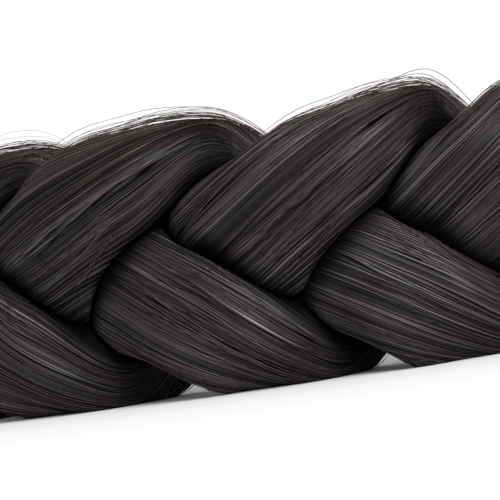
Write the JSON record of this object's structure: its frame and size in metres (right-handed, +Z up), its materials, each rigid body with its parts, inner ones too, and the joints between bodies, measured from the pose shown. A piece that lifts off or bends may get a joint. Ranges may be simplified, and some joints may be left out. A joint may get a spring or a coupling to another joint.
{
  "type": "braided headband",
  "caption": "Headband of thick dark synthetic hair plaited flat into a loop, its tapered ends wrapped and joined at the back by a flat elastic; it stands on its edge as a ring.",
  "frame": {"origin": "on the surface the headband rests on, under the middle of its bounding box", "axes": "+X across the loop to the wearer's left ear, +Y to the elastic at the back, +Z up, through the loop; the front of the braid faces -Y"},
  "size_m": [0.1932, 0.1716, 0.041],
  "materials": {
    "braid_hair": "fine synthetic hair, brown-black, satin sheen along the fibres",
    "wrapped_hair": "the same hair wound tightly round each end",
    "elastic": "matt black flat woven elastic"
  },
  "bodies": {
    "root": {"strand_1": "braid_hair", "strand_2": "braid_hair", "strand_3": "braid_hair", "end_wrap_left": "wrapped_hair", "end_wrap_right": "wrapped_hair", "elastic_band": "elastic"}
  },
  "joints": []
}
